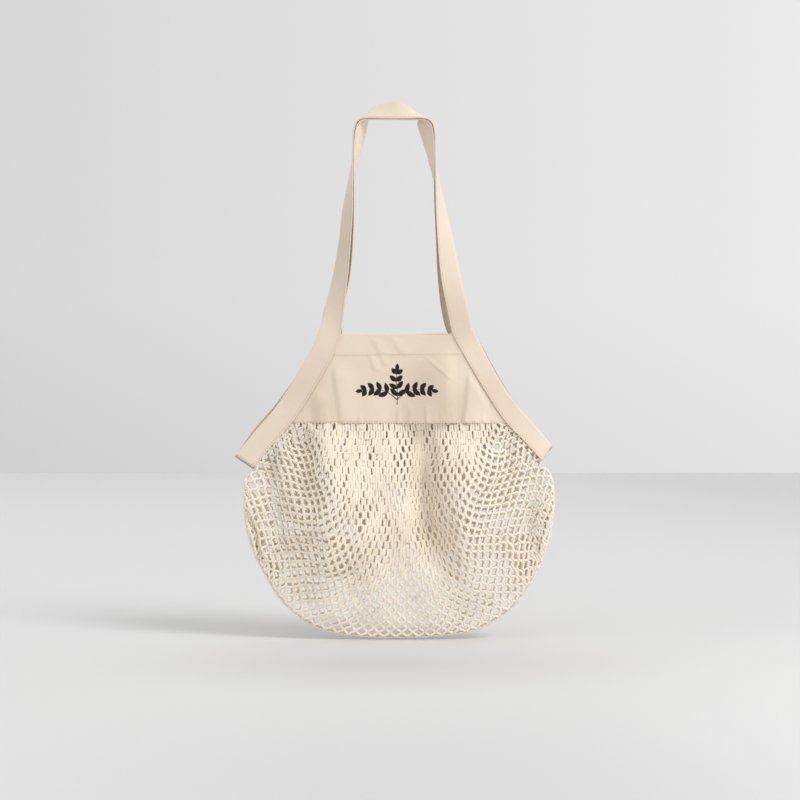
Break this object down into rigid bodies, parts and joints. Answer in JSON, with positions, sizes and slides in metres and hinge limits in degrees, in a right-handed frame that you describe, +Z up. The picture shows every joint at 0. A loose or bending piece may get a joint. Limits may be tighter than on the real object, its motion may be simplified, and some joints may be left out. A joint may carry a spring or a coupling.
{
  "type": "mesh shopping bag",
  "caption": "Cotton net shopping bag with a canvas yoke on each side and two long tape handles, hanging limp and empty from its handles.",
  "frame": {"origin": "underside of the two handles at the middle of their width, where the bag hangs from them", "axes": "+Z up, the front yoke faces -Y, +X runs across the bag to the right of a viewer in front of it"},
  "size_m": [0.3981, 0.0767, 0.6716],
  "materials": {
    "webbing": "matt folded canvas tape, unbleached",
    "canvas": "matt plain-weave canvas, unbleached",
    "cotton_net": "matt knitted cotton cord, unbleached"
  },
  "bodies": {
    "root": {"strap_front": "webbing", "strap_back": "webbing", "yoke_front": "canvas", "yoke_back": "canvas", "net": "cotton_net"}
  },
  "joints": []
}
